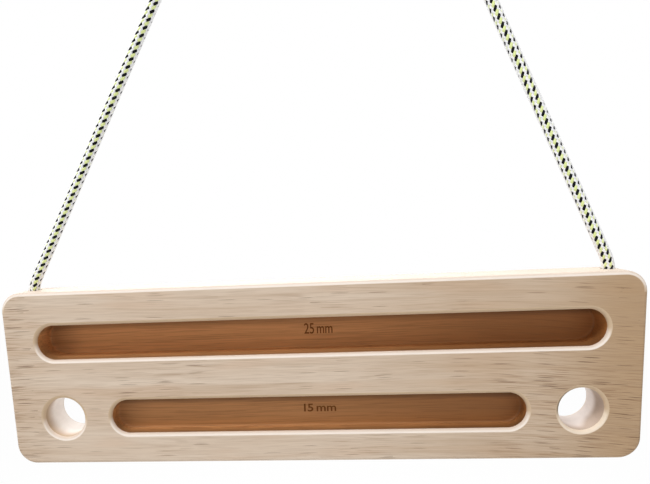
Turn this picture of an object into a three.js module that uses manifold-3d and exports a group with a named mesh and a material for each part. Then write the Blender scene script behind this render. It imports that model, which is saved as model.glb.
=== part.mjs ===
import * as THREE from 'three';
import { mergeVertices } from 'three/addons/utils/BufferGeometryUtils.js';
import Module from 'manifold-3d';

// A portable wooden hangboard in its two-legged rope sling.
// Millimetres, +Z up, +X along the board, the gripping side faces -Y.
// The origin is the hanging point: the inside of the top of the rope loop.

const wasm = await Module();
wasm.setup();

// Board
const boardLength = 500;
const boardHeight = 145;
const boardDepth = 38;
const cornerRadius = 16;
const edgeRound = 3;

// Finger slots, sunk into the front face: the upper one ends short of the board's ends,
// the lower one ends short of the grips
const upperSlotEndMargin = 27;
const upperSlotHeight = 28.5;
const upperSlotDepth = 25;
const upperSlotRise = 30.5;
const lowerSlotGripMargin = 23.5;
const lowerSlotHeight = 28.5;
const lowerSlotDepth = 15;
const slotLipRound = 3;
const slotFloorRound = 2;

// Round grips that go right through, in one row with the lower slot
const gripDiameter = 34;
const gripEndMargin = 44;
const gripLipRound = 3;
const lowerRowDrop = 33;

// Rope, its bores through the board and the pockets that hide its stopper knots.
// The bores stand a little behind the middle of the depth, where the slotted board balances.
const ropeDiameter = 9;
const boreClearance = 1;
const boreEndMargin = 19.5;
const boreSetback = 2.5;
const boreMouthRound = 1.5;
const pocketDiameter = 26;
const pocketHeight = 20;
const pocketClearance = 1;
const stopperHeight = 16;
const stopperTail = 3;
const stopperShoulderShare = 1 / 3;

// Sling: the knot stands over the board, right of its middle as the shorter right leg pulls it
const knotAboveBoard = 454;
const knotOffset = 25;
const knotDiameter = 46;
const loopInside = 52;

// Gap between rope pieces that meet face to face, and how far cutters run past a face
const faceGap = 0.3;
const overrun = 1;

// Facets
const cornerSteps = 6;
const slotEndSteps = 14;
const roundSteps = 3;
const holeSegments = 40;
const boreSegments = 24;
const ropeSides = 12;
const knotSegments = 24;
const knotRings = 16;
const ropeStepDiameters = 2.5;
const loopSteps = 44;

// Route of the hanging loop's centre line, left strand up, over the hook and down again
const loopRoute = [
  [-7, -62], [-7.6, -55], [-10.5, -44], [-15, -31], [-17.6, -19], [-16.6, -8.5],
  [-12.1, -0.8], [-6.4, 3.2], [0, 4.5], [6.4, 3.2], [12.1, -0.8], [16.6, -8.5],
  [17.6, -19], [15, -31], [10.5, -44], [7.6, -55], [7, -62],
];

// Sizes and places that follow
const upperSlotLength = boardLength - 2 * upperSlotEndMargin;
const gripSpacing = boardLength - 2 * gripEndMargin;
const lowerSlotLength = gripSpacing - gripDiameter - 2 * lowerSlotGripMargin;
const boreSpacing = boardLength - 2 * boreEndMargin;
const ropeRadius = ropeDiameter / 2;
const knotRadius = knotDiameter / 2;
const knotCentre = new THREE.Vector3(0, 0, -loopInside - knotRadius);
const boardTop = knotCentre.z - knotAboveBoard;
const boardBottom = boardTop - boardHeight;
const boardMiddleX = knotCentre.x - knotOffset;
const boardMiddleZ = (boardTop + boardBottom) / 2;
const boardFront = -boardDepth / 2 - boreSetback;
const pocketCeiling = boardBottom + pocketHeight;

// Materials
const wood = () => new THREE.MeshStandardMaterial({ color: 0xcbb49c, roughness: 0.62, metalness: 0 });
const rope = () => new THREE.MeshStandardMaterial({ color: 0xdadccb, roughness: 0.85, metalness: 0 });

function toSolid(geometry) {
  const bare = geometry.clone();
  bare.deleteAttribute('normal');
  bare.deleteAttribute('uv');
  const merged = mergeVertices(bare);
  const vertProperties = new Float32Array(merged.attributes.position.array);
  const triVerts = new Uint32Array(merged.index.array);
  return new wasm.Manifold(new wasm.Mesh({ numProp: 3, vertProperties, triVerts }));
}

function toGeometry(solid) {
  const mesh = solid.getMesh();
  const geometry = new THREE.BufferGeometry();
  geometry.setAttribute('position', new THREE.BufferAttribute(new Float32Array(mesh.vertProperties), 3));
  geometry.setIndex(new THREE.BufferAttribute(new Uint32Array(mesh.triVerts), 1));
  geometry.computeVertexNormals();
  return geometry;
}

// Outline with round ends in the XZ plane, grown outward by an offset
function slotOutline(length, height, offset) {
  const halfStraight = (length - height) / 2;
  const radius = height / 2 + offset;
  const points = [];
  for (const side of [1, -1]) {
    for (let step = 0; step <= slotEndSteps; step += 1) {
      const angle = side * (-Math.PI / 2 + (Math.PI * step) / slotEndSteps);
      points.push([side * (halfStraight + radius * Math.cos(angle)), radius * Math.sin(angle)]);
    }
  }
  return points;
}

// Rectangle with round corners in the XZ plane, grown outward by an offset
function boardOutline(offset) {
  const radius = cornerRadius + offset;
  const halfX = boardLength / 2 - cornerRadius;
  const halfZ = boardHeight / 2 - cornerRadius;
  const corners = [[1, -1], [1, 1], [-1, 1], [-1, -1]];
  const points = [];
  corners.forEach(([sideX, sideZ], corner) => {
    for (let step = 0; step <= cornerSteps; step += 1) {
      const angle = (Math.PI / 2) * (corner - 1 + step / cornerSteps);
      points.push([sideX * halfX + radius * Math.cos(angle), sideZ * halfZ + radius * Math.sin(angle)]);
    }
  });
  return points;
}

// Closed solid through rings of points that all have the same count, capped flat at both ends.
// Each ring is an outline at its own depth behind the front face.
function loft(rings) {
  const count = rings[0].outline.length;
  const positions = [];
  for (const ring of rings) {
    for (const [x, z] of ring.outline) positions.push(x, ring.depth, z);
  }
  const faces = [];
  for (let ring = 0; ring + 1 < rings.length; ring += 1) {
    for (let point = 0; point < count; point += 1) {
      const next = (point + 1) % count;
      const here = ring * count;
      const beyond = here + count;
      faces.push(here + point, beyond + next, here + next);
      faces.push(here + point, beyond + point, beyond + next);
    }
  }
  const last = (rings.length - 1) * count;
  for (let point = 1; point + 1 < count; point += 1) {
    faces.push(0, point, point + 1);
    faces.push(last, last + point + 1, last + point);
  }
  const geometry = new THREE.BufferGeometry();
  geometry.setAttribute('position', new THREE.Float32BufferAttribute(positions, 3));
  geometry.setIndex(faces);
  return geometry;
}

// Quarter round from a face into a wall: pairs of outward offset and depth
function lipProfile(radius) {
  const pairs = [];
  for (let step = 0; step <= roundSteps; step += 1) {
    const angle = ((Math.PI / 2) * step) / roundSteps;
    pairs.push({ offset: radius * (1 - Math.sin(angle)), depth: radius * (1 - Math.cos(angle)) });
  }
  return pairs;
}

// Board blank with its edges rounded front and back
function boardBlank() {
  const front = lipProfile(edgeRound).map(({ offset, depth }) => ({ offset: -depth, depth: offset }));
  const rings = [];
  for (const { offset, depth } of [...front].reverse()) {
    rings.push({ outline: boardOutline(offset), depth });
  }
  for (const { offset, depth } of front) {
    rings.push({ outline: boardOutline(offset), depth: boardDepth - depth });
  }
  return loft(rings);
}

// What the cutter takes out for one finger slot, with a round lip and a round at the floor
function slotCutter(length, height, slotDepth) {
  const lip = lipProfile(slotLipRound);
  const floor = lipProfile(slotFloorRound).map(({ offset, depth }) => ({
    offset: -depth,
    depth: slotDepth - offset,
  }));
  const steps = [{ offset: slotLipRound, depth: -overrun }, ...lip, ...floor];
  return loft(steps.map(({ offset, depth }) => ({ outline: slotOutline(length, height, offset), depth })));
}

// Round cutter along Y for a grip, flared at both faces of the board
function gripCutter() {
  const radius = gripDiameter / 2;
  const lip = lipProfile(gripLipRound);
  const profile = [new THREE.Vector2(0, -overrun)];
  profile.push(new THREE.Vector2(radius + gripLipRound, -overrun));
  for (const { offset, depth } of lip) profile.push(new THREE.Vector2(radius + offset, depth));
  for (const { offset, depth } of [...lip].reverse()) {
    profile.push(new THREE.Vector2(radius + offset, boardDepth - depth));
  }
  profile.push(new THREE.Vector2(radius + gripLipRound, boardDepth + overrun));
  profile.push(new THREE.Vector2(0, boardDepth + overrun));
  return new THREE.LatheGeometry(profile, holeSegments);
}

// Round cutter along Z for the rope: pocket below, bore above, a rounded mouth at the top edge
function ropeCutter() {
  const boreRadius = ropeRadius + boreClearance;
  const pocketRadius = pocketDiameter / 2;
  const mouth = lipProfile(boreMouthRound);
  const profile = [new THREE.Vector2(0, -overrun)];
  profile.push(new THREE.Vector2(pocketRadius, -overrun));
  profile.push(new THREE.Vector2(pocketRadius, pocketHeight));
  profile.push(new THREE.Vector2(boreRadius, pocketHeight));
  for (const { offset, depth } of [...mouth].reverse()) {
    profile.push(new THREE.Vector2(boreRadius + offset, boardHeight - depth));
  }
  profile.push(new THREE.Vector2(boreRadius + boreMouthRound, boardHeight + overrun));
  profile.push(new THREE.Vector2(0, boardHeight + overrun));
  return new THREE.LatheGeometry(profile, boreSegments).rotateX(Math.PI / 2);
}

function makeBoard() {
  let body = toSolid(boardBlank());
  const slots = [
    [upperSlotLength, upperSlotHeight, upperSlotDepth, upperSlotRise],
    [lowerSlotLength, lowerSlotHeight, lowerSlotDepth, -lowerRowDrop],
  ];
  for (const [length, height, depth, rise] of slots) {
    body = body.subtract(toSolid(slotCutter(length, height, depth).translate(0, 0, rise)));
  }
  for (const side of [-1, 1]) {
    const grip = gripCutter().translate((side * gripSpacing) / 2, 0, -lowerRowDrop);
    body = body.subtract(toSolid(grip));
    const bore = ropeCutter().translate((side * boreSpacing) / 2, -boardFront, -boardHeight / 2);
    body = body.subtract(toSolid(bore));
  }
  const board = new THREE.Mesh(toGeometry(body), wood());
  board.name = 'board';
  board.position.set(boardMiddleX, boardFront, boardMiddleZ);
  return board;
}

// Round section of the rope, swept along a curve
function ropeTube(curve, steps) {
  const section = [];
  for (let side = 0; side < ropeSides; side += 1) {
    const angle = (2 * Math.PI * side) / ropeSides;
    section.push(new THREE.Vector2(ropeRadius * Math.cos(angle), ropeRadius * Math.sin(angle)));
  }
  return new THREE.ExtrudeGeometry(new THREE.Shape(section), {
    steps,
    bevelEnabled: false,
    extrudePath: curve,
    curveSegments: ropeSides,
  });
}

function stepsAlong(length) {
  return Math.max(1, Math.round(length / (ropeStepDiameters * ropeDiameter)));
}

// Space that the round knot needs, so that each rope end lies against it and it can still turn
function knotSpace() {
  return new THREE.SphereGeometry(knotRadius + faceGap, knotSegments, knotRings)
    .translate(knotCentre.x, knotCentre.y, knotCentre.z);
}

// Free stretch of rope from its seat in the board's top edge up to the knot.
// Its lower end is a half ball about the line that the board tilts on.
function makeLeg(name, side) {
  const seat = new THREE.Vector3(boardMiddleX + (side * boreSpacing) / 2, 0, boardTop + ropeRadius);
  const length = seat.distanceTo(knotCentre);
  const tube = toSolid(ropeTube(new THREE.LineCurve3(seat, knotCentre), stepsAlong(length)));
  const ball = new THREE.SphereGeometry(ropeRadius, ropeSides, ropeSides / 2);
  ball.translate(seat.x, seat.y, seat.z);
  const leg = tube.add(toSolid(ball)).subtract(toSolid(knotSpace()));
  const mesh = new THREE.Mesh(toGeometry(leg), rope());
  mesh.name = name;
  return mesh;
}

// Stretch of rope inside the board, from the bore's mouth down to the stopper knot
function makeRun(name, side) {
  const x = boardMiddleX + (side * boreSpacing) / 2;
  const top = new THREE.Vector3(x, 0, boardTop - faceGap);
  const bottom = new THREE.Vector3(x, 0, pocketCeiling);
  const steps = stepsAlong(top.distanceTo(bottom));
  const mesh = new THREE.Mesh(ropeTube(new THREE.LineCurve3(bottom, top), steps), rope());
  mesh.name = name;
  return mesh;
}

// Stopper knot in its pocket, with the rope's short cut end below it
function makeStopper(name, side) {
  const radius = pocketDiameter / 2 - pocketClearance;
  const cap = stopperHeight * stopperShoulderShare;
  const profile = [new THREE.Vector2(0, -stopperHeight - stopperTail)];
  profile.push(new THREE.Vector2(ropeRadius, -stopperHeight - stopperTail));
  profile.push(new THREE.Vector2(ropeRadius, -stopperHeight));
  for (let step = 0; step <= roundSteps; step += 1) {
    const angle = ((Math.PI / 2) * step) / roundSteps;
    const reach = ropeRadius + (radius - ropeRadius) * Math.sin(angle);
    if (step > 0) profile.push(new THREE.Vector2(reach, -stopperHeight + cap * (1 - Math.cos(angle))));
  }
  for (let step = roundSteps; step >= 0; step -= 1) {
    const angle = ((Math.PI / 2) * step) / roundSteps;
    const reach = ropeRadius + (radius - ropeRadius) * Math.sin(angle);
    profile.push(new THREE.Vector2(reach, -cap * (1 - Math.cos(angle))));
  }
  profile.push(new THREE.Vector2(0, 0));
  const knot = new THREE.LatheGeometry(profile, boreSegments).rotateX(Math.PI / 2);
  const mesh = new THREE.Mesh(knot, rope());
  mesh.name = name;
  mesh.position.set(boardMiddleX + (side * boreSpacing) / 2, 0, pocketCeiling - faceGap);
  return mesh;
}

function makeSlingKnot() {
  const mesh = new THREE.Mesh(new THREE.SphereGeometry(knotRadius, knotSegments, knotRings), rope());
  mesh.name = 'sling_knot';
  mesh.position.copy(knotCentre);
  return mesh;
}

function makeHangingLoop() {
  const points = loopRoute.map(([x, z]) => new THREE.Vector3(x, 0, z));
  const curve = new THREE.CatmullRomCurve3(points, false, 'centripetal');
  const loop = toSolid(ropeTube(curve, loopSteps)).subtract(toSolid(knotSpace()));
  const mesh = new THREE.Mesh(toGeometry(loop), rope());
  mesh.name = 'hanging_loop';
  return mesh;
}

const hangboard = new THREE.Group();
hangboard.add(makeBoard());
hangboard.add(makeRun('rope_run_left', -1), makeRun('rope_run_right', 1));
hangboard.add(makeStopper('stopper_knot_left', -1), makeStopper('stopper_knot_right', 1));
hangboard.add(makeLeg('rope_leg_left', -1), makeLeg('rope_leg_right', 1));
hangboard.add(makeSlingKnot(), makeHangingLoop());

export default hangboard;
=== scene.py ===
import math

import bmesh
import bpy
from mathutils import Matrix, Vector


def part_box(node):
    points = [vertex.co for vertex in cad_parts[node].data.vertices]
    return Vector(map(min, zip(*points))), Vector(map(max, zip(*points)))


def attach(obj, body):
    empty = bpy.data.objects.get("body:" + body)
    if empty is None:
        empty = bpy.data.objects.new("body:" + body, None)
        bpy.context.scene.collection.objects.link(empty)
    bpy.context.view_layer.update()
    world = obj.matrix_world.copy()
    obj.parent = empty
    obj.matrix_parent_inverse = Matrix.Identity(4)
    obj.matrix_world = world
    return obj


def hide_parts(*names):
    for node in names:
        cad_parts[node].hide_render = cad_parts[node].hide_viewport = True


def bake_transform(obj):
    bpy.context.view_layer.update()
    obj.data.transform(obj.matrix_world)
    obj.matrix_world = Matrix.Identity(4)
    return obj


# A wooden hangboard in its two-legged rope sling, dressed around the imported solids.
# Metres, +Z up, +X along the board, the gripping side faces -Y, origin at the hanging point.

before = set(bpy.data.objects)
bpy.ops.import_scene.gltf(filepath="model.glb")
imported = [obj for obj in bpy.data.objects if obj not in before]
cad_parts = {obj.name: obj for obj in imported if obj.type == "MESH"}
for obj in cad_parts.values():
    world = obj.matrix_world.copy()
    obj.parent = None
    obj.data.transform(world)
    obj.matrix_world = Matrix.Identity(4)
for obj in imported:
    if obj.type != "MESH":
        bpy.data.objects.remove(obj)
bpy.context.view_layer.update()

# Board and its cuts, as in the part's source
BOARD_LOW, BOARD_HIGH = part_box("board")
BOARD_SIZE = BOARD_HIGH - BOARD_LOW
BOARD_MIDDLE = (BOARD_LOW + BOARD_HIGH) / 2
BOARD_FRONT = BOARD_LOW.y
CORNER_RADIUS = 0.016
EDGE_ROUND = 0.003
UPPER_SLOT = {"length": 0.446, "height": 0.0285, "depth": 0.025, "rise": 0.0305}
LOWER_SLOT = {"length": 0.331, "height": 0.0285, "depth": 0.015, "rise": -0.033}
LIP_ROUND = 0.003
FLOOR_ROUND = 0.002
GRIP_RADIUS = 0.017
GRIP_REACH = 0.206
GRIP_RISE = -0.033
BORE_RADIUS = 0.0055
BORE_REACH = 0.2305
MOUTH_ROUND = 0.0015
POCKET_RADIUS = 0.013
POCKET_HEIGHT = 0.020
POCKET_BEVEL = 0.0006

# Rope, and its braid: strands each way round, how far one strand's step climbs, and where within a
# step a dark strand has its middle
ROPE = 0.009
STRANDS = 12
STRAND_RISE = 0.0032
STRAND_PHASE = 0.25
# The strands draw together into lanes along the rope: their number, the first one's place as a share
# of the way round, and how far the strands move
LANES = 6
LANE_MIDDLE = 0.0625
LANE_SPREAD = 0.0093
# Depth of the gaps between strands below the rope's outline, and the strands' height above the gaps
DIP = 0.00030
STRAND_HEIGHT = 0.00045
# The rope's mesh: where round it, in degrees, its points begin, how many there are in a ring, and the
# way from ring to ring
SEAM_TURN = -202.5
ROPE_SIDES = 48
RING_GAP = 0.0009
# How much a cut end draws in
END_TAPER = 0.7

# Middle of the sling's knot, and the seats, the points just over the bores where the legs' lines begin
KNOT_CENTRE = Vector((0, 0, -0.075))
SEATS = {
    "left": Vector((BOARD_MIDDLE.x - BORE_REACH, 0, BOARD_HIGH.z + ROPE / 2)),
    "right": Vector((BOARD_MIDDLE.x + BORE_REACH, 0, BOARD_HIGH.z + ROPE / 2)),
}

# How far each leg's braid is turned to the right, in degrees, at distances above the board
LAY_TURN = {
    "left": [(0, 26), (0.077, 27), (0.107, 28), (0.164, 31), (0.192, 34), (0.220, 39), (0.5, 73)],
    "right": [
        (0, -51), (0.020, -38), (0.038, -22), (0.047, -18), (0.107, -17), (0.121, -10), (0.136, 2),
        (0.150, 18), (0.164, 32), (0.192, 43), (0.220, 46), (0.5, 100),
    ],
}
# Where a leg begins above its seat, and where its straight line ends below the sling's knot's centre
LEG_START = 0.012
KNOT_ROOM = 0.070
# Rope width at heights above and below the middle of the sling's knot, which squeezes it
SQUEEZE = [(0.018, 0.0086), (0.030, 0.009)]
# Distance above the board of a dark strand in each leg
DARK_STRAND = {"left": 0.0393, "right": 0.0409}

# Centre lines of the two strands through the sling's knot, from the knot's centre, in millimetres
KNOT_LEFT = [
    (-17.2, 2.6, -30.5), (-14.7, 1.8, -24.9), (-12.3, 0.9, -19.2), (-10.6, -0.5, -13.5),
    (-9.4, -2.3, -7.7), (-11.2, -5.2, -2.7), (-10.8, -9.2, 1.9), (-8.6, -12.3, 6.6),
    (-4.3, -13.6, 10.8), (0.9, -13.2, 13.8), (6.3, -11.7, 16.2), (11.7, -9.4, 17.2),
    (16.7, -6.1, 17.0), (18.6, -0.8, 15.3), (18.4, 4.6, 12.5), (16.2, 8.8, 9.0),
    (12.0, 11.5, 5.5), (7.1, 13.2, 2.7), (1.6, 14.1, 0.2), (-3.8, 14.2, -2.3),
    (-9.1, 13.3, -5.1), (-13.7, 11.6, -8.3), (-17.3, 8.1, -11.8), (-19.2, 3.2, -14.5),
    (-19.2, -2.5, -16.5), (-15.4, -6.8, -17.7), (-9.9, -9.3, -17.2), (-4.5, -11.2, -15.4),
    (0.9, -12.3, -12.7), (6.1, -12.4, -9.6), (10.0, -11.1, -5.1), (11.9, -8.5, 0.0),
    (11.4, -5.0, 5.0), (10.6, -2.9, 10.6), (10.3, -1.1, 16.6), (10.4, 0.0, 22.6),
]
KNOT_RIGHT = [
    (13.2, 1.6, -32.0), (9.6, 1.4, -26.5), (6.4, 0.9, -20.7), (3.6, 0.4, -16.9),
    (1.0, -0.5, -11.1), (-1.4, -1.5, -5.3), (-3.6, -3.9, 0.1), (-1.9, -8.3, 4.1),
    (3.5, -10.6, 6.5), (9.4, -12.0, 8.6), (15.3, -10.5, 9.6), (18.8, -5.4, 8.4),
    (17.7, 0.1, 5.7), (12.7, 3.1, 3.4), (6.8, 4.7, 1.6), (0.8, 5.6, -0.1),
    (-5.3, 5.7, -1.9), (-11.2, 4.8, -3.9), (-16.2, 2.0, -6.3), (-17.4, -3.6, -8.6),
    (-14.1, -8.8, -9.6), (-8.3, -10.7, -8.2), (-2.5, -9.9, -5.7), (2.8, -8.2, -2.8),
    (4.4, -3.8, 1.4), (2.9, -1.7, 7.1), (1.6, -0.6, 13.3), (0.0, 0.0, 19.0),
]
# Centre line of the hanging loop, over the hook, from the left leg's strand to the right leg's
LOOP = [
    (10.6, 0, -50), (11.4, 0, -44), (15, 0, -31), (17.6, 0, -19),
    (16.6, 0, -8.5), (12.1, 0, -0.8), (6.4, 0, 3.2), (0, 0, 4.5), (-6.4, 0, 3.2),
    (-12.1, 0, -0.8), (-16.6, 0, -8.5), (-17.6, 0, -19), (-14.4, 0, -31), (-7.6, 0, -43),
    (-2.4, 0, -50),
]
# Centre line of a stopper knot, from its middle, rope coming in at the top
STOPPER = [
    (2.8, 0.6, 8.7), (2.8, -1.3, 4.4), (3.2, -2.4, 1.7), (3.3, -4.3, -0.7),
    (1.4, -7.2, -3.3), (-2.1, -8.6, -4.9), (-5.9, -7.5, -5.3), (-8.6, -4.3, -4.8),
    (-9.1, -0.1, -3.5), (-7.2, 3.5, -2.0), (-3.8, 5.1, -0.8), (0.1, 5.3, 0.2), (4.0, 5.1, 1.2),
    (7.5, 3.3, 2.5), (9.2, -0.3, 4.0), (8.6, -4.5, 5.3), (5.8, -7.6, 5.8), (1.9, -8.5, 5.2),
    (-1.4, -7.1, 3.4), (-3.2, -4.0, 0.7), (-2.8, -1.7, -3.0), (-2.8, -0.4, -6.4), (-2.8, 0.3, -9.6),
]
# The unit of these centre lines
MM = 0.001

# Points closer together than this are made one
MERGE = 1e-6


# Camera at the photograph's viewing angle: its place, its three directions and its lens in pixels
CAMERA_PLACE = Vector((-0.0016, -0.4736, -0.4794))
CAMERA_ACROSS = Vector((0.995021, 0.087833, -0.047109))
CAMERA_AHEAD = Vector((-0.094138, 0.983462, -0.154726))
CAMERA_UP = Vector((0.032740, 0.158390, 0.986834))
PICTURE_WIDTH = 650
PICTURE_HEIGHT = 484
FOCAL_PIXELS = 591.332
AXIS_ACROSS = 282.874
AXIS_DOWN = 311.066


def place_camera():
    data = bpy.data.cameras.new("camera")
    data.sensor_width = 36
    data.lens = FOCAL_PIXELS / PICTURE_WIDTH * data.sensor_width
    data.shift_x = (PICTURE_WIDTH / 2 - AXIS_ACROSS) / PICTURE_WIDTH
    data.shift_y = (AXIS_DOWN - PICTURE_HEIGHT / 2) / PICTURE_WIDTH
    data.clip_start = 0.01
    data.clip_end = 50
    camera = bpy.data.objects.new("camera", data)
    turn = Matrix((CAMERA_ACROSS, CAMERA_UP, -CAMERA_AHEAD)).transposed().to_4x4()
    camera.matrix_world = Matrix.Translation(CAMERA_PLACE) @ turn
    bpy.context.scene.collection.objects.link(camera)
    bpy.context.scene.camera = camera


place_camera()


# Shader maths as plain expressions
class Value:
    """One number, colour or vector that a finish works out at each point of a surface."""

    def __init__(self, finish, socket):
        self.finish = finish
        self.socket = socket

    def maths(self, operation, *values):
        return self.finish.node("ShaderNodeMath", {"operation": operation}, dict(enumerate(values)))

    def __add__(self, other):
        return self.maths("ADD", self, other)

    __radd__ = __add__

    def __sub__(self, other):
        return self.maths("SUBTRACT", self, other)

    def __rsub__(self, other):
        return self.maths("SUBTRACT", other, self)

    def __mul__(self, other):
        return self.maths("MULTIPLY", self, other)

    __rmul__ = __mul__

    def __pow__(self, other):
        return self.maths("POWER", self, other)

    def __mod__(self, other):
        return self.maths("FLOORED_MODULO", self, other)

    def __lt__(self, other):
        return self.maths("LESS_THAN", self, other)

    def __abs__(self):
        return self.maths("ABSOLUTE", self)

    def whole(self):
        return self.maths("FLOOR", self)

    def rest(self):
        return self.maths("FRACT", self)

    def wave(self):
        return self.maths("SINE", self)

    def step(self, low, high):
        """0 below low, 1 above high and a smooth rise between them."""
        values = {"Value": self, "From Min": low, "From Max": high}
        return self.finish.node("ShaderNodeMapRange", {"interpolation_type": "SMOOTHSTEP"}, values)


class Finish:
    """The procedural nodes of one material or of the world."""

    def __init__(self, owner):
        self.owner = owner
        owner.use_nodes = True
        self.tree = owner.node_tree
        self.tree.nodes.clear()

    def node(self, kind, settings, values, output=0):
        """Adds a node with its settings and inputs, and gives back one of its outputs."""
        made = self.tree.nodes.new(kind)
        for name, setting in settings.items():
            setattr(made, name, setting)
        for name, value in values.items():
            if isinstance(value, Value):
                self.tree.links.new(value.socket, made.inputs[name])
            else:
                made.inputs[name].default_value = value
        return Value(self, made.outputs[output]) if made.outputs else None

    def coordinates(self, kind):
        """The x, y and z of a point of the surface, or of its direction."""
        place = self.node("ShaderNodeTexCoord", {}, {}, kind)
        return [self.node("ShaderNodeSeparateXYZ", {}, {0: place}, axis) for axis in range(3)]

    def join(self, x, y, z):
        return self.node("ShaderNodeCombineXYZ", {}, {0: x, 1: y, 2: z})

    def spread(self, place, lumps, shift=None):
        """A place counted in lumps of noise, so many to the unit along each axis."""
        x, y, z = [axis * count for axis, count in zip(place, lumps)]
        return self.join(x if shift is None else x + shift, y, z)

    def cloud(self, place, detail=2.0, roughness=0.5):
        """Soft noise, about one lump for each unit of the place."""
        values = {"Vector": place, "Scale": 1.0, "Detail": detail, "Roughness": roughness}
        return self.node("ShaderNodeTexNoise", {}, values)

    def dots(self, place):
        """Distance to the middle of the nearest of many scattered cells, and that cell's own number."""
        values = {"Vector": place, "Scale": 1.0}
        near = self.node("ShaderNodeTexVoronoi", {}, values, "Distance")
        colour = self.node("ShaderNodeTexVoronoi", {}, values, "Color")
        return near, self.node("ShaderNodeSeparateXYZ", {}, {0: colour})

    def blend(self, share, first, second):
        """Colour that goes from first to second with the share."""
        return self.node("ShaderNodeMix", {"data_type": "RGBA"}, {0: share, 6: first, 7: second}, 2)

    def choose(self, share, first, second):
        """Number that goes from first to second with the share."""
        return self.node("ShaderNodeMix", {"data_type": "FLOAT"}, {0: share, 2: first, 3: second})

    def shade(self, colour, amount):
        """Colour made darker by a number."""
        values = {0: colour, 1: self.join(amount, amount, amount)}
        return self.node("ShaderNodeVectorMath", {"operation": "MULTIPLY"}, values)

    def bump(self, height, depth):
        return self.node("ShaderNodeBump", {}, {"Strength": 1.0, "Distance": depth, "Height": height})

    def surface(self, values):
        shader = self.node("ShaderNodeBsdfPrincipled", {}, values)
        self.node("ShaderNodeOutputMaterial", {}, {"Surface": shader})
        return self.owner


# Lumps of noise to the metre along, into and up the board, in each layer of the wood
LUMPS = {
    "wander": (4.0, 9.0, 9.0),
    "broad": (2.2, 30.0, 60.0),
    "band": (5.0, 140.0, 260.0),
    "fibre": (26.0, 900.0, 1150.0),
    "streak": (30.0, 300.0, 1900.0),
    "rosy": (11.0, 20.0, 75.0),
    "pores": (34.0, 500.0, 1150.0),
    "zone": (13.0, 20.0, 30.0),
    "lip": (45.0, 45.0, 420.0),
    "grip": (45.0, 160.0, 420.0),
    "scorch": (60.0, 60.0, 900.0),
}

# Colours of the sanded wood and of the marks in its grain
CREAM = (0.690, 0.570, 0.455, 1)
BEIGE = (0.640, 0.505, 0.385, 1)
ROSY = (0.640, 0.470, 0.340, 1)
TAN = (0.430, 0.275, 0.145, 1)
BAND = (0.420, 0.285, 0.175, 1)
STREAK = (0.250, 0.135, 0.062, 1)
FIBRE = (0.340, 0.220, 0.135, 1)
SIDE_CREAM = (0.780, 0.670, 0.570, 1)
PORE = (0.120, 0.060, 0.026, 1)

# Colours of the wood in the slots, browned partly by the cutter's scorch and partly as painted shade, and of
# the marks in its grain
AMBER = (0.730, 0.350, 0.135, 1)
RUSSET = (0.620, 0.285, 0.102, 1)
UMBER = (0.350, 0.130, 0.032, 1)
BROWN_BAND = (0.330, 0.150, 0.050, 1)
BROWN_STREAK = (0.200, 0.080, 0.026, 1)
BROWN_PORE = (0.120, 0.040, 0.012, 1)

# Colours of the rounded lips, paler than the face: on their walls, a painted highlight on their fronts, at
# the right grip, and painted shade facing down
LIP_WALL = (0.720, 0.600, 0.500, 1)
LIP_HIGHLIGHT = (0.880, 0.790, 0.710, 1)
LIP_RIGHT = (0.810, 0.680, 0.530, 1)
LIP_SHADED = (0.590, 0.437, 0.287, 1)

# Colours of the grips' walls near the front, in painted shade, and further in, in painted light from behind,
# for the left grip and the right one
GRIP_SHADED = {"left": (0.470, 0.330, 0.210, 1), "right": (0.450, 0.340, 0.262, 1)}
GRIP_LIT = {"left": (0.920, 0.860, 0.810, 1), "right": (0.820, 0.740, 0.690, 1)}

# Pairs of colours that each kind of yarn, and the scorched wood, varies between
WHITE_YARN = ((0.97, 0.97, 0.98, 1), (0.99, 0.99, 0.99, 1))
DARK_YARN = ((0.002, 0.002, 0.003, 1), (0.008, 0.008, 0.010, 1))
LIME_YARN = ((0.68, 0.79, 0.24, 1), (0.90, 0.95, 0.54, 1))
GREY_YARN = ((0.84, 0.85, 0.90, 1), (0.97, 0.97, 0.96, 1))
SCORCHED = ((0.140, 0.050, 0.012, 1), (0.250, 0.096, 0.026, 1))


def board_places(finish):
    """Places along the board and up from its middle, and behind its front, as x, y, z with y the depth."""
    x, y, z = finish.coordinates("Object")
    return x - BOARD_MIDDLE.x, y - BOARD_FRONT, z - BOARD_MIDDLE.z


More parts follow.
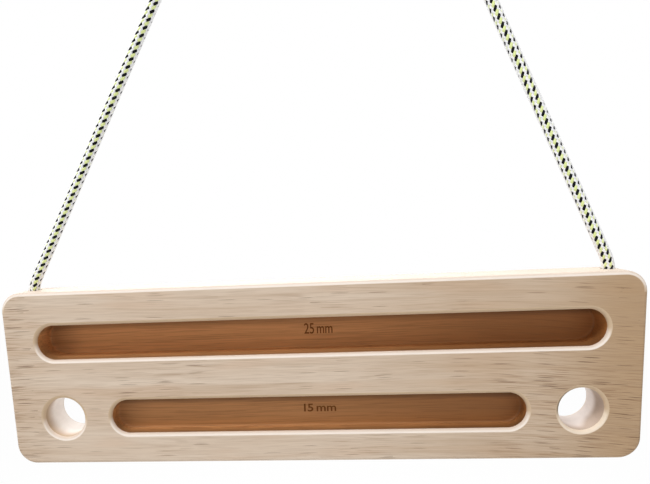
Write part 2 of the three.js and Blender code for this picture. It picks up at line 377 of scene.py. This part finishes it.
def brown(finish, place, broad, band, streak, pores):
    """Colour of the wood inside the slots: browner to the right, with painted shade near the lips, at the
    left ends, under the top walls and on the right ends' floor rounds, lighter in the upper slot.
    """
    x, y, z = place
    across, front, top = finish.coordinates("Normal")
    upper = z.step(-0.012, 0.0)
    wall = 1 - abs(front).step(0.25, 0.90)
    rim = 1 - y.step(0.005, 0.014 + 0.008 * upper)
    # Painted shade on the walls near the lips, most on the ledges that face up into the light
    ledge_shade = wall * rim * 0.58 * top.step(-0.1, 0.8)
    # Painted shade at the slots' left ends, most on their floors
    corner = (0.5 + 0.5 * upper) * (1 - 0.6 * wall) * (1 - (x + 0.0575 * upper).step(-0.160, -0.132))
    # Painted shadow on the floors just under the slots' top walls
    painted_top_shadow = z.step(0.0350, 0.0410) + z.step(-0.0285, -0.0235) * (1 - upper)
    # Painted shade on the floor's round at the right ends, which faces the light
    fillet_shade = (0 - across).step(0.15, 0.60) * abs(front).step(0.15, 0.60)
    warm = finish.blend(broad.step(0.3, 0.7), AMBER, RUSSET)
    warm = finish.blend(x.step(-0.04, 0.19) * 0.85, warm, UMBER)
    warm = finish.blend(band.step(0.42, 0.70) * 0.30, warm, BROWN_BAND)
    warm = finish.blend(streak.step(0.53, 0.60) * 0.28, warm, BROWN_STREAK)
    warm = finish.blend(pores * 0.6, warm, BROWN_PORE)
    # All the painted shade together; the upper slot is a little lighter
    painted_shade = (1 - ledge_shade) * (1 - 0.30 * corner) * (1 - 0.45 * painted_top_shadow) * (1 - 0.20 * fillet_shade)
    return finish.shade(warm, painted_shade * (0.90 + 0.18 * upper))


# Pale hardwood, straight grain along X with short dark pores, and painted shade that makes its front tanner
# towards the right end.
# Inside the slots it is brown, partly the cutter's scorch and partly painted shade.
def wood(name, browned_and_shaded=False):
    finish = Finish(bpy.data.materials.new(name))
    place = board_places(finish)
    x, y, z = place
    wander = finish.cloud(finish.spread(place, LUMPS["wander"]), 1.0)
    height = z + wander * 0.012 + x.step(0.08, 0.28) * (x - 0.08) * 0.05
    grain = (x, y, height)
    broad = finish.cloud(finish.spread(grain, LUMPS["broad"]))
    band = finish.cloud(finish.spread(grain, LUMPS["band"]), 3.0, 0.55)
    fibre = finish.cloud(finish.spread(grain, LUMPS["fibre"]), 2.0, 0.6)
    streak = finish.cloud(finish.spread(grain, LUMPS["streak"]), 1.0)
    rosy = finish.cloud(finish.spread(grain, LUMPS["rosy"], 7.0), 1.0)
    near, number = finish.dots(finish.spread(grain, LUMPS["pores"], band * 0.4))
    zone = finish.cloud(finish.spread(place, LUMPS["zone"], 3.0), 1.0)
    left = 1 - x.step(-0.250, -0.205)
    right = x.step(0.09, 0.20) * (1 - z.step(-0.020, 0.050))
    busy = 0.12 + 0.48 * left + 0.38 * right + 0.20 * zone.step(0.46, 0.66)
    side = y.step(0.002, 0.004) * (1 - y.step(0.034, 0.036))
    pores = (1 - near.step(0.19, 0.30)) * (number < busy) * (0.45 + 0.55 * busy) * (1 - 0.85 * side)
    if browned_and_shaded:
        colour = brown(finish, place, broad, band, streak, pores)
    else:
        # Painted shade: tan towards the right end of the front, and a little at the left end, where less
        # light falls; the edge rounds stay clear of it except along the right end
        tan_shade_share = x.step(0.0, 0.15) * 0.36 + x.step(0.165, 0.240) * 0.50 + left * 0.14
        flat = 1 - y.step(0.0003, 0.002) * (1 - x.step(0.232, 0.246))
        colour = finish.blend(broad.step(0.36, 0.64), CREAM, BEIGE)
        colour = finish.blend(rosy.step(0.52, 0.70) * 0.45, colour, ROSY)
        colour = finish.blend(tan_shade_share * flat, colour, TAN)
        colour = finish.blend(band.step(0.45, 0.70) * (0.30 + 0.30 * right), colour, BAND)
        colour = finish.blend(streak.step(0.55, 0.60) * (busy * 0.85 + 0.06), colour, STREAK)
        colour = finish.blend(fibre.step(0.45, 0.75) * 0.22, colour, FIBRE)
        colour = finish.blend(side * 0.55, colour, SIDE_CREAM)
        colour = finish.blend(pores, colour, PORE)
    return finish.surface({
        "Base Color": colour, "Roughness": 0.50 + 0.14 * band, "Specular IOR Level": 0.3,
        "Normal": finish.bump(fibre * 0.4 - pores, 0.00010),
    })


# Smooth wood where the router has rounded a rim, paler than the face, with painted light where it faces up,
# a painted highlight where it faces forward and painted shade where it faces down
def lip_wood():
    finish = Finish(bpy.data.materials.new("lip_wood"))
    place = board_places(finish)
    across, front, top = finish.coordinates("Normal")
    grain = finish.cloud(finish.spread(place, LUMPS["lip"]), 2.0, 0.6)
    right_grip = place[0].step(0.172, 0.182) * (1 - place[2].step(-0.012, -0.006))
    # Painted shadow on the upper left of the right grip's rim
    shadow = right_grip * across.step(0.1, 0.6) * (1 - top.step(-0.1, 0.2))
    # Painted highlight where the lip faces forward, painted light over the rest that faces up
    lit_colour = finish.blend(abs(front).step(0.66, 1.0), LIP_WALL, LIP_HIGHLIGHT)
    lit_colour = finish.blend(right_grip * 0.8, lit_colour, LIP_RIGHT)
    # Painted shade where the lip faces down
    colour = finish.blend(top.step(-0.04, 0.22), LIP_SHADED, lit_colour)
    colour = finish.shade(colour, (0.94 + 0.12 * grain) * (1 - 0.6 * shadow))
    return finish.surface({
        "Base Color": colour, "Roughness": 0.46 + 0.10 * grain, "Specular IOR Level": 0.3,
        "Normal": finish.bump(grain, 0.00006),
    })


# Bored wall of a grip, in painted shade towards the front and deeper in on the right grip's far wall, and in
# painted light from behind further in
def grip_wood():
    finish = Finish(bpy.data.materials.new("grip_wood"))
    place = board_places(finish)
    across = finish.coordinates("Normal")[0]
    grain = finish.cloud(finish.spread(place, LUMPS["grip"]), 2.0, 0.6)
    right = place[0].step(0.0, 0.1)
    # Painted shade on the right grip's far wall, reaching deeper in
    far_wall_shade = right * (0 - across).step(0.1, 0.7)
    shaded_wall = finish.blend(right, GRIP_SHADED["left"], GRIP_SHADED["right"])
    lit_colour = finish.blend(right, GRIP_LIT["left"], GRIP_LIT["right"])
    colour = finish.blend(place[1].step(0.003 + 0.012 * far_wall_shade, 0.019 + 0.006 * far_wall_shade), shaded_wall, lit_colour)
    colour = finish.shade(colour, 0.92 + 0.16 * grain)
    return finish.surface({
        "Base Color": colour, "Roughness": 0.50 + 0.10 * grain, "Specular IOR Level": 0.3,
        "Normal": finish.bump(grain, 0.00008),
    })


# Braided rope sheath, each strand over two and under two: dark and lime ones one way, white and pale
# grey ones the other way.
# Where the rope turns away its colours are blended towards white, a painted sheen.
def sheath():
    finish = Finish(bpy.data.materials.new("rope_sheath"))
    turn, along, _ = finish.coordinates("UV")
    turn = turn - ((turn * LANES - LANE_MIDDLE * LANES) * (2 * math.pi)).wave() * LANE_SPREAD
    rising = turn * STRANDS - along
    falling = turn * STRANDS + along
    first = rising.whole()
    second = falling.whole()
    step = (first + second) % 4.0
    over = step < 1.5
    across = finish.choose(over, falling.rest(), rising.rest())
    length = finish.choose(over, rising.rest() + step - 2.0, falling.rest() + step) * 0.5
    crown = (1 - abs(across * 2.0 - 1.0) ** 3.0) * (1 - abs(length * 2.0 - 1.0) ** 4.0)
    yarn = finish.cloud(finish.join(across * 9.0, length * 2.2, first + second * 7.0), 2.0, 0.6)
    ply = (across * (math.pi * 6.0)).wave() * 0.5 + 0.5
    edge = finish.node("ShaderNodeLayerWeight", {}, {"Blend": 0.5}, "Facing")
    # Painted sheen: lime and grey go white towards the rope's edges
    painted_sheen = edge.step(0.14, 0.42)
    white = finish.blend(yarn, *WHITE_YARN)
    # Painted sheen on the dark strands, only at the very edge
    dark = finish.blend(edge.step(0.28, 0.62), finish.blend(yarn, *DARK_YARN), white)
    lime = finish.blend(painted_sheen, finish.blend(yarn, *LIME_YARN), white)
    grey = finish.blend(painted_sheen, finish.blend(yarn, *GREY_YARN), white)
    one_way = finish.blend(first % 2.0, dark, lime)
    other_way = finish.blend(second % 2.0, white, grey)
    colour = finish.blend(over, other_way, one_way)
    # Painted shade in the gaps between strands
    colour = finish.shade(colour, 0.96 + 0.04 * crown.step(0.0, 0.4))
    return finish.surface({
        "Base Color": colour, "Roughness": 0.85, "Sheen Weight": 0.08, "Specular IOR Level": 0.15,
        "Normal": finish.bump(crown * 0.7 + ply * 0.15 + yarn * 0.15, 0.00022),
    })


# Scorched wood of the engraved depth marks
def scorch():
    finish = Finish(bpy.data.materials.new("scorched_wood"))
    grain = finish.cloud(finish.spread(finish.coordinates("Object"), LUMPS["scorch"]))
    colour = finish.blend(grain, *SCORCHED)
    return finish.surface({"Base Color": colour, "Roughness": 0.9, "Specular IOR Level": 0.1})


PALE_WOOD = wood("pale_wood")
SLOT_WOOD = wood("slot_wood", browned_and_shaded=True)
LIP_WOOD = lip_wood()
GRIP_WOOD = grip_wood()
SHEATH = sheath()
SCORCH = scorch()


# Rope pieces
def table_value(table, place):
    """Value at a place in a table of places and values, flat past its ends."""
    if place <= table[0][0]:
        return table[0][1]
    for (low, first), (high, second) in zip(table, table[1:]):
        if place <= high:
            return first + (second - first) * (place - low) / (high - low)
    return table[-1][1]


def smooth_line(points, step):
    """Points about one step apart along a smooth curve through the points of a route, and its length."""
    ends = [2 * points[0] - points[1], *points, 2 * points[-1] - points[-2]]
    fine = [points[0]]
    for before, start, end, after in zip(ends, ends[1:], ends[2:], ends[3:]):
        gaps = [math.sqrt((b - a).length) for a, b in ((before, start), (start, end), (end, after))]
        t0, t1 = 0.0, gaps[0]
        t2, t3 = gaps[0] + gaps[1], sum(gaps)
        count = max(4, int((end - start).length / step * 3))
        for index in range(1, count + 1):
            t = t1 + (t2 - t1) * index / count
            a = before.lerp(start, (t - t0) / (t1 - t0))
            b = start.lerp(end, (t - t1) / (t2 - t1))
            c = end.lerp(after, (t - t2) / (t3 - t2))
            d = a.lerp(b, (t - t0) / (t2 - t0))
            e = b.lerp(c, (t - t1) / (t3 - t1))
            fine.append(d.lerp(e, (t - t1) / (t2 - t1)))
    run = [0.0]
    for a, b in zip(fine, fine[1:]):
        run.append(run[-1] + (b - a).length)
    count = max(2, round(run[-1] / step))
    line = []
    at = 0
    for index in range(count + 1):
        want = run[-1] * index / count
        while at + 2 < len(run) and run[at + 1] < want:
            at += 1
        share = (want - run[at]) / max(run[at + 1] - run[at], 1e-12)
        line.append(fine[at].lerp(fine[at + 1], share))
    return line, run[-1]


def bulge(turn, along):
    """How far a braid strand stands proud at a place on the sheath, from 0 to 1."""
    turn -= math.sin((turn - LANE_MIDDLE) * LANES * 2 * math.pi) * LANE_SPREAD
    rising = turn * STRANDS - along
    falling = turn * STRANDS + along
    step = (math.floor(rising) + math.floor(falling)) % 4
    if step < 2:
        across = rising % 1
        ahead = (falling % 1 + step) / 2
    else:
        across = falling % 1
        ahead = (rising % 1 + step - 2) / 2
    return (1 - abs(2 * across - 1) ** 2.5) * (1 - abs(2 * ahead - 1) ** 4)


def frames_along(line):
    """Two directions square to a line at each of its points, carried along it without a twist."""
    frames = []
    normal = Vector((0, -1, 0))
    for before, after in zip([line[0], *line], [*line[1:], line[-1]]):
        ahead = (after - before).normalized()
        normal = (normal - normal.dot(ahead) * ahead).normalized()
        frames.append((normal.copy(), ahead.cross(normal)))
    return frames


def add_rope(sheet, route, side, start, ends=None, width=None, round_end=0.0):
    """Adds braided rope to a mesh, along a whole route or from one end to the other on it. Start is how
    far up the rope the route's first point is above the board. Round_end is how much of the last end
    tapers. Gives back the points that the rope follows and its length."""
    line, length = smooth_line(route, RING_GAP)
    total = len(line) - 1
    first, last = 0, total
    if ends:
        first, last = [min(range(total + 1), key=lambda at: (line[at] - end).length) for end in ends]
    rings = last - first
    frames = frames_along(line)
    distances = [start + length * index / total for index in range(total + 1)]
    steps = [(distance - DARK_STRAND[side]) / STRAND_RISE + STRAND_PHASE for distance in distances]
    grid = bmesh.new()
    marks = grid.loops.layers.uv.new("UVMap")
    bmesh.ops.create_grid(grid, x_segments=ROPE_SIDES, y_segments=rings, size=0.5)
    for face in grid.faces:
        for loop in face.loops:
            ring = first + round((loop.vert.co.y + 0.5) * rings)
            loop[marks].uv = (loop.vert.co.x + 0.5, steps[ring])
    for corner in grid.verts:
        ring = first + round((corner.co.y + 0.5) * rings)
        turn = corner.co.x + 0.5
        angle = 2 * math.pi * turn + math.radians(table_value(LAY_TURN[side], distances[ring]) + SEAM_TURN)
        wide = width or table_value(SQUEEZE, abs(line[ring].z - KNOT_CENTRE.z))
        radius = wide / 2 - DIP + STRAND_HEIGHT * bulge(turn, steps[ring])
        left = length * (last - ring) / total
        if left < round_end:
            radius *= math.sqrt(1 - END_TAPER * (1 - left / round_end) ** 2)
        outward, aside = frames[ring]
        corner.co = line[ring] + radius * (math.cos(angle) * outward + math.sin(angle) * aside)
    bmesh.ops.remove_doubles(grid, verts=grid.verts, dist=MERGE)
    bmesh.ops.edgeloop_fill(grid, edges=[edge for edge in grid.edges if edge.is_boundary])
    bmesh.ops.recalc_face_normals(grid, faces=grid.faces)
    made = bpy.data.meshes.new("stretch")
    grid.to_mesh(made)
    grid.free()
    sheet.from_mesh(made)
    bpy.data.meshes.remove(made)
    return line[first:last + 1], length * rings / total


def show(name, sheet, materials, smooth=True):
    """Makes a named object of a finished mesh."""
    mesh = bpy.data.meshes.new(name)
    sheet.to_mesh(mesh)
    sheet.free()
    for material in materials:
        mesh.materials.append(material)
    if smooth:
        mesh.shade_smooth()
    piece = bpy.data.objects.new(name, mesh)
    bpy.context.scene.collection.objects.link(piece)
    return piece


def from_knot(points):
    """Places in the scene of points counted from the sling's knot's centre."""
    return [KNOT_CENTRE + Vector(point) * MM for point in points]


# Places deep in that knot where a leg passes into its strand and the strand into the loop
INSIDE = {
    "left": from_knot([KNOT_LEFT[4], KNOT_LEFT[-4]]),
    "right": from_knot([KNOT_RIGHT[4], KNOT_RIGHT[-4]]),
}


# A side's rope from just above the board through the sling's knot. The left one goes on over the hook
# and down the right one's last six points, and the right one goes on up the loop's last three.
def rope_route(side):
    seat = SEATS[side]
    ahead = (KNOT_CENTRE - seat).normalized()
    long = (KNOT_CENTRE - seat).length
    straight = long - LEG_START - KNOT_ROOM
    leg = [seat + ahead * (LEG_START + straight * share / 10) for share in range(11)]
    loop = [Vector(point) * MM for point in LOOP]
    if side == "left":
        return leg + from_knot(KNOT_LEFT) + loop + from_knot(KNOT_RIGHT[:-7:-1])
    return leg + from_knot(KNOT_RIGHT) + loop[:-4:-1]


# A leg's free stretch, from above the board to deep in the sling's knot
def make_leg(side):
    route = rope_route(side)
    sheet = bmesh.new()
    line, length = add_rope(sheet, route, side, LEG_START, ends=(route[0], INSIDE[side][0]))
    piece = show(f"{side}_leg", sheet, [SHEATH])
    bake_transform(piece)
    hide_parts(f"rope_leg_{side}")
    return piece, line, length


# Each run goes up its bore from the stopper's pocket and bends over to where the leg begins. The bend's
# points are so far from the seat: inward along the board, upward, and ahead along the leg. The run's
# low end is a little way down in the pocket.
RUN_BEND = [
    (0.0001, -0.0045, 0), (0.0008, -0.0005, 0), (0.0001, 0, 0.0045), (0, 0, 0.0085), (0, 0, LEG_START),
]
RUN_IN_POCKET = 0.0025


def make_run(side):
    seat = SEATS[side]
    ahead = (KNOT_CENTRE - seat).normalized()
    inward = Vector((1 if side == "left" else -1, 0, 0))
    upward = Vector((0, 0, 1))
    low = BOARD_LOW.z + POCKET_HEIGHT - RUN_IN_POCKET
    high = BOARD_HIGH.z - ROPE / 2
    route = [Vector((seat.x, 0, low + (high - low) * share / 7)) for share in range(8)]
    route += [seat + inward * a + upward * b + ahead * c for a, b, c in RUN_BEND]
    sheet = bmesh.new()
    _, length = smooth_line(route, RING_GAP)
    add_rope(sheet, route, side, LEG_START - length)
    piece = show(f"{side}_run", sheet, [SHEATH])
    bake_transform(piece)
    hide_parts(f"rope_run_{side}")
    return piece


# The stopper knot sits squeezed in its pocket with the cut end below it. Its start is how far up the
# rope its first point is above the board.
STOPPER_PLACE = Vector((0, 0.0008, 0.0107))
STOPPER_SQUASH = 0.85
STOPPER_ROPE = 0.0074
STOPPER_START = -0.14
CUT_END_ROUND = 0.0016


def make_stopper(side):
    foot = Vector((SEATS[side].x, 0, BOARD_LOW.z))
    middle = foot + STOPPER_PLACE
    route = [foot + Vector((0, 0, POCKET_HEIGHT + 0.001))]
    route += [middle + Vector((x, y, z * STOPPER_SQUASH)) * MM for x, y, z in STOPPER]
    sheet = bmesh.new()
    add_rope(sheet, route, side, STOPPER_START, width=STOPPER_ROPE, round_end=CUT_END_ROUND)
    piece = show(f"{side}_stopper", sheet, [SHEATH])
    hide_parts(f"stopper_knot_{side}")
    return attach(piece, "board")


# The two legs' strands go side by side round an overhand knot
def make_sling_knot():
    sheet = bmesh.new()
    for side in ("left", "right"):
        add_rope(sheet, rope_route(side), side, LEG_START, ends=INSIDE[side])
    piece = show("sling_overhand", sheet, [SHEATH])
    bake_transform(piece)
    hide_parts("sling_knot")
    return piece


# The loop over the hook, from the left strand deep in the sling's knot to the right one
def make_loop():
    sheet = bmesh.new()
    ends = (INSIDE["left"][1], INSIDE["right"][1])
    line, length = add_rope(sheet, rope_route("left"), "left", LEG_START, ends=ends)
    piece = show("top_loop", sheet, [SHEATH])
    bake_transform(piece)
    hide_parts("hanging_loop")
    return piece, line, length


overhand = make_sling_knot()
for side in ("left", "right"):
    make_run(side)
    make_stopper(side)
    leg, leg_line, leg_length = make_leg(side)
    [tuple(point) for point in leg_line[::12] + leg_line[-1:]]
loop, loop_line, loop_length = make_loop()
[tuple(point) for point in loop_line[::4] + loop_line[-1:]]


# Board. A cutter goes past the face it opens in, and its rounds stand a hair in front of that face.
CUT_PAST = 0.002
CUT_PROUD = 0.00003
# How near the board's front or back a face counts as flat on it, and how far outside a cut's outline
# a face still counts as the cut's
HAIR = 0.00001
SKIN = 0.0001


def ring_of(sheet, radius, half_straight, depth, rise, count=112):
    """A closed ring of edges in the XZ plane: a circle, or one pulled apart into round ends."""
    made = bmesh.ops.create_circle(sheet, cap_ends=False, radius=radius, segments=count)
    ring = made["verts"]
    bmesh.ops.rotate(sheet, verts=ring, cent=(0, 0, 0), matrix=Matrix.Rotation(math.pi / count, 3, "Z"))
    bmesh.ops.rotate(sheet, verts=ring, cent=(0, 0, 0), matrix=Matrix.Rotation(math.pi / 2, 3, "X"))
    for side in (-1, 1):
        half = [corner for corner in ring if corner.co.x * side > 0]
        bmesh.ops.translate(sheet, verts=half, vec=(side * half_straight, 0, 0))
    place = (BOARD_MIDDLE.x, BOARD_FRONT + depth, BOARD_MIDDLE.z + rise)
    bmesh.ops.translate(sheet, verts=ring, vec=place)
    edges = {edge for corner in ring for edge in corner.link_edges}
    return list(edges)


def quarter(radius, steps):
    """Offset outward and depth along a quarter round, from the face down to the wall."""
    turns = [math.pi / 2 * step / steps for step in range(steps + 1)]
    return [(radius * (1 - math.sin(turn)), radius * (1 - math.cos(turn))) for turn in turns]


def cutter(name, rings):
    """A closed plug through rings of edges, only there to cut with."""
    sheet = bmesh.new()
    loops = [ring_of(sheet, *ring) for ring in rings]
    for first, second in zip(loops, loops[1:]):
        bmesh.ops.bridge_loops(sheet, edges=first + second)
    bmesh.ops.edgeloop_fill(sheet, edges=[edge for edge in sheet.edges if edge.is_boundary])
    bmesh.ops.recalc_face_normals(sheet, faces=sheet.faces)
    return show(name, sheet, [], smooth=False)


def lip_profile():
    """Offsets outward and depths of a lip's quarter round, from the face down to the wall."""
    return [(offset, depth - CUT_PROUD) for offset, depth in quarter(LIP_ROUND, 7)]


def slot_cutter(name, slot):
    """A slot with a rounded lip, straight walls and a rounded floor."""
    radius = slot["height"] / 2
    half_straight = slot["length"] / 2 - radius
    floor = [(-depth, slot["depth"] - offset) for offset, depth in quarter(FLOOR_ROUND, 5)]
    profile = [(LIP_ROUND, -CUT_PAST), *lip_profile(), *floor]
    return cutter(name, [(radius + offset, half_straight, depth, slot["rise"]) for offset, depth in profile])


def grip_cutter(name, side):
    """A grip right through the board, with a rounded lip on its front and back."""
    lip = lip_profile()
    back = [(offset, BOARD_SIZE.y - depth) for offset, depth in reversed(lip)]
    profile = [(LIP_ROUND, -CUT_PAST), *lip, *back, (LIP_ROUND, BOARD_SIZE.y + CUT_PAST)]
    plug = cutter(name, [(GRIP_RADIUS + offset, 0, depth, GRIP_RISE) for offset, depth in profile])
    plug.data.transform(Matrix.Translation((side * GRIP_REACH, 0, 0)))
    return plug


def rope_cutter(name, side):
    """Pocket, bore and rounded mouth, turned from one profile round the rope's line."""
    height = BOARD_SIZE.z
    wide = POCKET_RADIUS + POCKET_BEVEL
    pocket = [(0, -CUT_PAST), (wide, -CUT_PAST), (wide, 0), (POCKET_RADIUS, POCKET_BEVEL)]
    pocket += [(POCKET_RADIUS, POCKET_HEIGHT), (BORE_RADIUS, POCKET_HEIGHT)]
    rounds = quarter(MOUTH_ROUND, 5)
    mouth = [(BORE_RADIUS + offset, height - depth + CUT_PROUD) for offset, depth in reversed(rounds)]
    top = [(BORE_RADIUS + MOUTH_ROUND, height + CUT_PAST), (0, height + CUT_PAST)]
    sheet = bmesh.new()
    corners = [sheet.verts.new((radius, 0, rise)) for radius, rise in pocket + mouth + top]
    edges = [sheet.edges.new(pair) for pair in zip(corners, corners[1:])]
    bmesh.ops.spin(
        sheet, geom=corners + edges, cent=(0, 0, 0), axis=(0, 0, 1), angle=2 * math.pi, steps=64,
        use_merge=True,
    )
    bmesh.ops.remove_doubles(sheet, verts=sheet.verts, dist=MERGE)
    bmesh.ops.recalc_face_normals(sheet, faces=sheet.faces)
    place = (BOARD_MIDDLE.x + side * BORE_REACH, 0, BOARD_LOW.z)
    bmesh.ops.translate(sheet, verts=sheet.verts, vec=place)
    return show(name, sheet, [], smooth=False)


# Numbers of the board's finishes, in the order of its materials
BOARD_FINISHES = [PALE_WOOD, SLOT_WOOD, LIP_WOOD, GRIP_WOOD]
PALE, SLOT, LIP, GRIP = range(len(BOARD_FINISHES))


def finish_of(face):
    """Number of the finish that a face of the board takes from the cut it lies in."""
    away = face.center - BOARD_MIDDLE
    depth = face.center.y - BOARD_FRONT
    nearest = min(depth, BOARD_SIZE.y - depth)
    if nearest < HAIR:
        return PALE
    rim = nearest < LIP_ROUND
    # The round along the top of the board's front takes the lips' finish, for a painted highlight along the
    # top edge
    past_x = max(abs(away.x) - BOARD_SIZE.x / 2 + CORNER_RADIUS, 0)
    past_z = away.z - BOARD_SIZE.z / 2 + CORNER_RADIUS
    if depth < EDGE_ROUND and past_z > 0 and math.hypot(past_x, past_z) > CORNER_RADIUS - EDGE_ROUND:
        return LIP
    reach = LIP_ROUND if rim else SKIN
    for slot in (UPPER_SLOT, LOWER_SLOT):
        along = abs(away.x) < slot["length"] / 2 + reach
        beside = abs(away.z - slot["rise"]) < slot["height"] / 2 + reach
        if along and beside and depth < slot["depth"] + SKIN:
            return LIP if rim else SLOT
    if math.hypot(abs(away.x) - GRIP_REACH, away.z - GRIP_RISE) < GRIP_RADIUS + reach:
        return LIP if rim else GRIP
    return PALE


def apply_cuts(blank, cutters):
    """Takes the cutters out of the blank for good and evens its shading."""
    for tool in cutters:
        cut = blank.modifiers.new(tool.name, "BOOLEAN")
        cut.operation = "DIFFERENCE"
        cut.solver = "EXACT"
        cut.object = tool
    even = blank.modifiers.new("even_shading", "WEIGHTED_NORMAL")
    even.keep_sharp = True
    bpy.context.view_layer.update()
    solid = bpy.data.meshes.new_from_object(blank.evaluated_get(bpy.context.evaluated_depsgraph_get()))
    blank.modifiers.clear()
    old = blank.data
    blank.data = solid
    bpy.data.meshes.remove(old)
    for tool in cutters:
        bpy.data.objects.remove(tool)


def goes_in(edge):
    """Whether an edge of the blank goes from its front towards its back."""
    return abs(edge.verts[0].co.y - edge.verts[1].co.y) > HAIR


# A block with rounded corners, then rounded rims, less the slots, grips, bores and pockets
def make_board():
    sheet = bmesh.new()
    bmesh.ops.create_cube(sheet, size=1.0)
    bmesh.ops.scale(sheet, verts=sheet.verts, vec=BOARD_SIZE)
    rounds = {"profile": 0.5, "affect": "EDGES", "material": -1, "clamp_overlap": True}
    corners = [edge for edge in sheet.edges if goes_in(edge)]
    bmesh.ops.bevel(sheet, geom=corners, offset=CORNER_RADIUS, segments=14, **rounds)
    rims = [edge for edge in sheet.edges if not goes_in(edge)]
    bmesh.ops.bevel(sheet, geom=rims, offset=EDGE_ROUND, segments=6, **rounds)
    bmesh.ops.translate(sheet, verts=sheet.verts, vec=BOARD_MIDDLE)
    blank = show("wooden_board", sheet, BOARD_FINISHES)
    cutters = [slot_cutter("cut_upper", UPPER_SLOT), slot_cutter("cut_lower", LOWER_SLOT)]
    for side, word in ((-1, "left"), (1, "right")):
        cutters += [grip_cutter(f"cut_grip_{word}", side), rope_cutter(f"cut_rope_{word}", side)]
    apply_cuts(blank, cutters)
    for face in blank.data.polygons:
        face.material_index = finish_of(face)
    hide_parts("board")
    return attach(blank, "board")


# Depth marks burnt into the slots' floors: the gap between their words, as a share of the type's own,
# and their thickness, half of it in the wood
WORD_GAP = 0.55
MARK_THICK = 0.0004


def make_mark(name, words, aside, rise, width, height, depth, stroke, closer=0.0):
    """A mark with its lower left corner aside and above the board's middle. Stroke thickens its letters
    and closer draws the first two together."""
    data = bpy.data.curves.new(name, "FONT")
    data.body = words
    data.offset = stroke
    data.space_word = WORD_GAP
    data.body_format[0].kerning = -closer
    data.extrude = 0.5
    text = bpy.data.objects.new(name, data)
    bpy.context.scene.collection.objects.link(text)
    bpy.context.view_layer.update()
    mesh = bpy.data.meshes.new_from_object(text.evaluated_get(bpy.context.evaluated_depsgraph_get()))
    bpy.data.objects.remove(text)
    low = Vector([min(corner.co[axis] for corner in mesh.vertices) for axis in range(3)])
    high = Vector([max(corner.co[axis] for corner in mesh.vertices) for axis in range(3)])
    grow = Matrix.Diagonal((width / (high.x - low.x), height / (high.y - low.y), MARK_THICK, 1))
    stand = Matrix.Rotation(math.pi / 2, 4, "X")
    corner = Vector((BOARD_MIDDLE.x + aside, BOARD_FRONT + depth, BOARD_MIDDLE.z + rise))
    mesh.transform(Matrix.Translation(corner) @ stand @ grow @ Matrix.Translation((-low.x, -low.y, 0)))
    mesh.materials.append(SCORCH)
    piece = bpy.data.objects.new(name, mesh)
    bpy.context.scene.collection.objects.link(piece)
    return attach(piece, "board")


make_board()
make_mark(
    "mark_25", "25 mm", aside=-0.0054, rise=0.0275, width=0.0231, height=0.0089,
    depth=UPPER_SLOT["depth"], stroke=0.004,
)
make_mark(
    "mark_15", "15 mm", aside=-0.0076, rise=-0.0356, width=0.0262, height=0.0066,
    depth=LOWER_SLOT["depth"], stroke=0.012, closer=6.0,
)


# Light, floor and background: how strongly the surroundings light the object from in front and from
# behind, and the floor's height, its reach and how much of it glows white in the camera's view
FRONT_GLOW = 0.48
BACK_GLOW = 0.80
FLOOR_HEIGHT = -1.5
FLOOR_REACH = 6
FLOOR_GLOW_SHARE = 0.96


def lamp(name, place, aim, width, height, power):
    """A soft lamp that the camera doesn't see."""
    data = bpy.data.lights.new(name, "AREA")
    data.shape = "RECTANGLE"
    data.size = width
    data.size_y = height
    data.energy = power
    holder = bpy.data.objects.new(name, data)
    holder.location = place
    way = Vector(aim) - Vector(place)
    holder.rotation_euler = way.to_track_quat("-Z", "Y").to_euler()
    holder.visible_camera = False
    bpy.context.scene.collection.objects.link(holder)


# The surroundings look white and light the board softly, more from behind
def make_world():
    finish = Finish(bpy.data.worlds.new("studio"))
    mirrored = finish.node("ShaderNodeLightPath", {}, {}, "Is Glossy Ray")
    seen = finish.node("ShaderNodeLightPath", {}, {}, "Is Camera Ray") + mirrored
    behind = finish.coordinates("Generated")[1].step(-0.2, 0.7)
    strength = finish.choose(seen, finish.choose(behind, FRONT_GLOW, BACK_GLOW), 1.0)
    glow = finish.node("ShaderNodeBackground", {}, {"Color": (1, 1, 1, 1), "Strength": strength})
    finish.node("ShaderNodeOutputWorld", {}, {"Surface": glow})
    bpy.context.scene.world = finish.owner


# A white floor well below the board
def make_floor():
    finish = Finish(bpy.data.materials.new("floor_paint"))
    matt = finish.node("ShaderNodeBsdfDiffuse", {}, {"Color": (0.9, 0.9, 0.9, 1)})
    glow = finish.node("ShaderNodeEmission", {}, {"Color": (1, 1, 1, 1), "Strength": 1.0})
    seen = finish.node("ShaderNodeLightPath", {}, {}, "Is Camera Ray")
    mixed = finish.node("ShaderNodeMixShader", {}, {0: seen * FLOOR_GLOW_SHARE, 1: matt, 2: glow})
    finish.node("ShaderNodeOutputMaterial", {}, {"Surface": mixed})
    sheet = bmesh.new()
    bmesh.ops.create_grid(sheet, x_segments=1, y_segments=1, size=FLOOR_REACH)
    bmesh.ops.translate(sheet, verts=sheet.verts, vec=(0, 0, FLOOR_HEIGHT))
    show("floor", sheet, [finish.owner], smooth=False)


lamp("key_lamp", (-0.875, -1.44, 2.30), aim=BOARD_MIDDLE, width=1.6, height=1.2, power=82)
lamp("back_lamp", (-0.3, 1.4, 0.35), aim=BOARD_MIDDLE, width=1.6, height=1.0, power=18)
make_world()
make_floor()
bpy.context.scene.view_settings.view_transform = "Standard"
